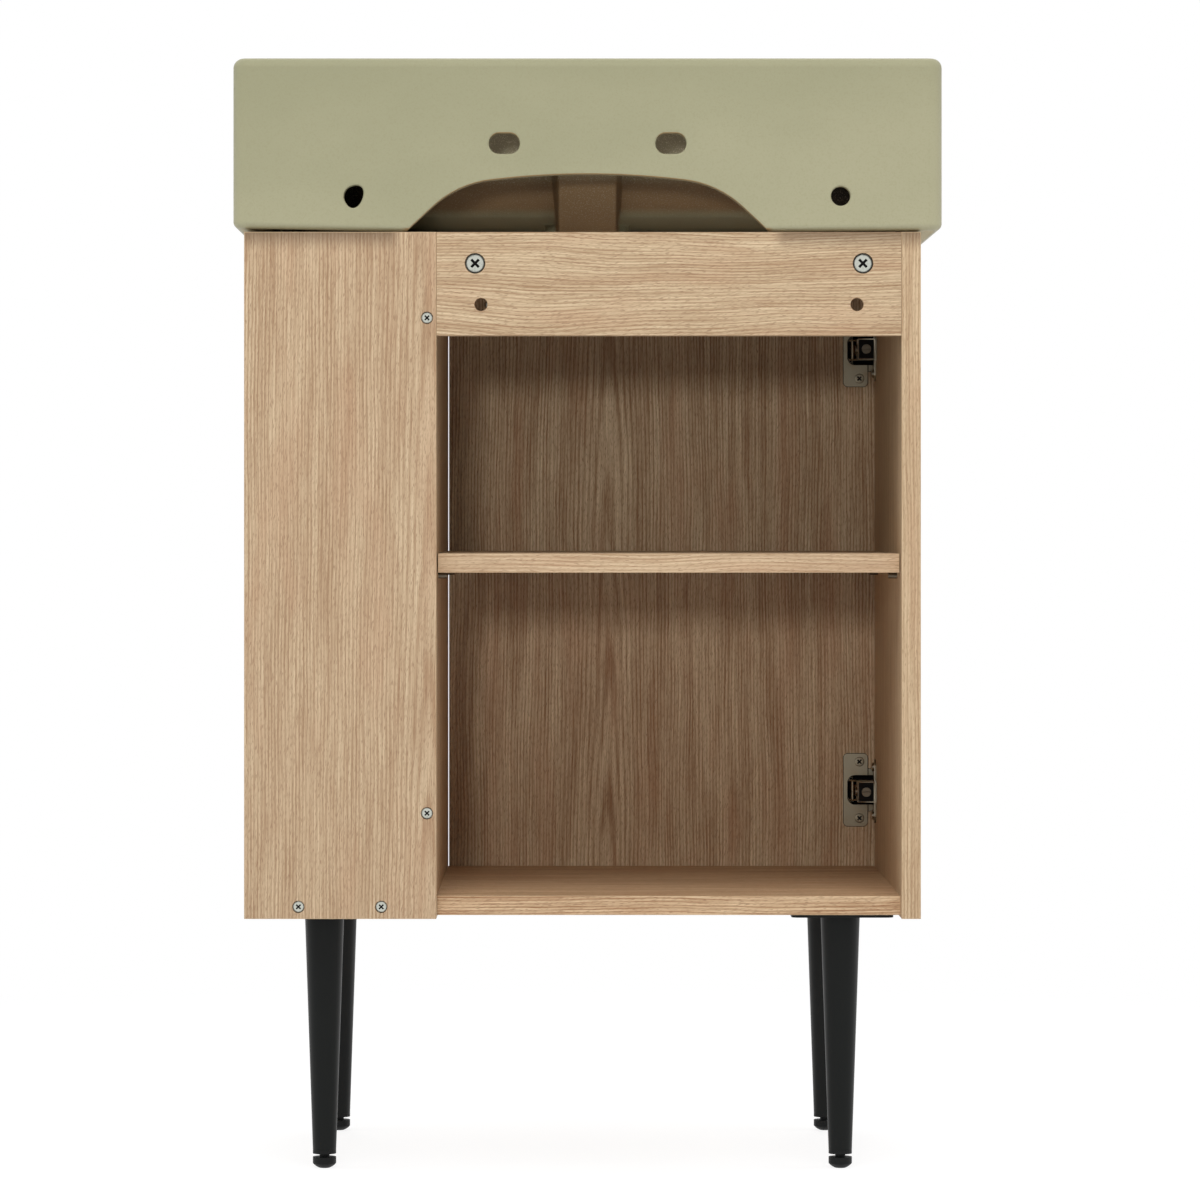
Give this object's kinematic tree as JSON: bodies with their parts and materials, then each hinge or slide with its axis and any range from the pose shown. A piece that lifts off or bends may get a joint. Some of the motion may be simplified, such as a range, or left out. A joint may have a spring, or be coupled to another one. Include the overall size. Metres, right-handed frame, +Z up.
{
  "type": "vanity unit",
  "caption": "Small bathroom vanity: ceramic basin on an oak-finish cabinet with a hinged door, a shelf inside, an open side niche and tapered legs on levelling feet.",
  "frame": {"origin": "on the floor, under the middle of the basin's footprint", "axes": "+Z up, +Y towards the wall behind the unit, -Y towards the user, +X from the door's hinge side towards the open niche"},
  "size_m": [0.554, 0.42, 0.873],
  "materials": {
    "sage_ceramic": "matt sage glaze",
    "oak_board": "matt oak-finish board with matching edges",
    "black_metal": "satin black",
    "black_plastic": "black plastic on a steel screw",
    "nickel_plated_steel": "nickel plated",
    "zinc_plated_steel": "zinc plated",
    "zinc_alloy": "die cast, matt",
    "beech": "bare fluted dowel",
    "clear_rubber": "clear soft bumper"
  },
  "bodies": {
    "cabinet": {"basin": "sage_ceramic", "hinge_side_panel": "oak_board", "divider_panel": "oak_board", "niche_back_panel": "oak_board", "bottom_panel": "oak_board", "niche_bottom_panel": "oak_board", "niche_lower_shelf": "oak_board", "niche_upper_shelf": "oak_board", "niche_top_panel": "oak_board", "rear_rail": "oak_board", "front_rail": "oak_board", "inner_shelf": "oak_board", "shelf_pins": "zinc_plated_steel", "door_bumpers": "clear_rubber", "upper_hinge_arm": "nickel_plated_steel", "lower_hinge_arm": "nickel_plated_steel", "hinge_guide_pins": "nickel_plated_steel", "hinge_adjusting_screws": "nickel_plated_steel", "upper_hinge_mounting_plate": "nickel_plated_steel", "lower_hinge_mounting_plate": "nickel_plated_steel", "mounting_plate_screws": "nickel_plated_steel", "corner_brackets": "zinc_plated_steel", "bracket_screws": "zinc_plated_steel", "rail_screws": "zinc_plated_steel", "niche_back_screws": "zinc_plated_steel", "dowels": "beech", "cam_bolts": "zinc_plated_steel", "cam_locks": "zinc_alloy", "rear_left_leg_plate": "black_metal", "rear_right_leg_plate": "black_metal", "front_left_leg_plate": "black_metal", "front_right_leg_plate": "black_metal", "leg_plate_screws": "black_metal", "leg_plugs": "black_plastic", "rear_left_leg": "black_metal", "rear_right_leg": "black_metal", "front_left_leg": "black_metal", "front_right_leg": "black_metal"},
    "door": {"door": "oak_board", "door_knob": "black_metal", "knob_screw": "zinc_plated_steel", "upper_hinge_cup": "nickel_plated_steel", "lower_hinge_cup": "nickel_plated_steel", "hinge_cup_screws": "nickel_plated_steel", "hinge_cup_pins": "nickel_plated_steel", "upper_hinge_inner_link": "nickel_plated_steel", "lower_hinge_inner_link": "nickel_plated_steel"},
    "hinge_links": {"upper_hinge_outer_link": "nickel_plated_steel", "lower_hinge_outer_link": "nickel_plated_steel"},
    "rear_left_levelling_foot": {"rear_left_foot": "black_plastic"},
    "rear_right_levelling_foot": {"rear_right_foot": "black_plastic"},
    "front_left_levelling_foot": {"front_left_foot": "black_plastic"},
    "front_right_levelling_foot": {"front_right_foot": "black_plastic"}
  },
  "joints": [
    {"name": "door_hinge", "type": "hinge", "parent": "cabinet", "child": "door", "pos_m": [-0.2544, -0.1815, 0.4695], "axis": [0, 0, -1], "range_deg": [0, 100]},
    {"name": "hinge_link_turn", "type": "hinge", "parent": "cabinet", "child": "hinge_links", "pos_m": [-0.2544, -0.1815, 0.4695], "axis": [0, 0, -1], "range_deg": [0, 50]},
    {"name": "rear_left_foot_height", "type": "slide", "parent": "cabinet", "child": "rear_left_levelling_foot", "axis": [0, 0, -1], "range_m": [-0.002, 0.008]},
    {"name": "rear_right_foot_height", "type": "slide", "parent": "cabinet", "child": "rear_right_levelling_foot", "axis": [0, 0, -1], "range_m": [-0.002, 0.008]},
    {"name": "front_left_foot_height", "type": "slide", "parent": "cabinet", "child": "front_left_levelling_foot", "axis": [0, 0, -1], "range_m": [-0.002, 0.008]},
    {"name": "front_right_foot_height", "type": "slide", "parent": "cabinet", "child": "front_right_levelling_foot", "axis": [0, 0, -1], "range_m": [-0.002, 0.008]}
  ],
  "couplings": [
    {"joint": "hinge_link_turn", "follows": "door_hinge", "ratio": 0.5}
  ]
}
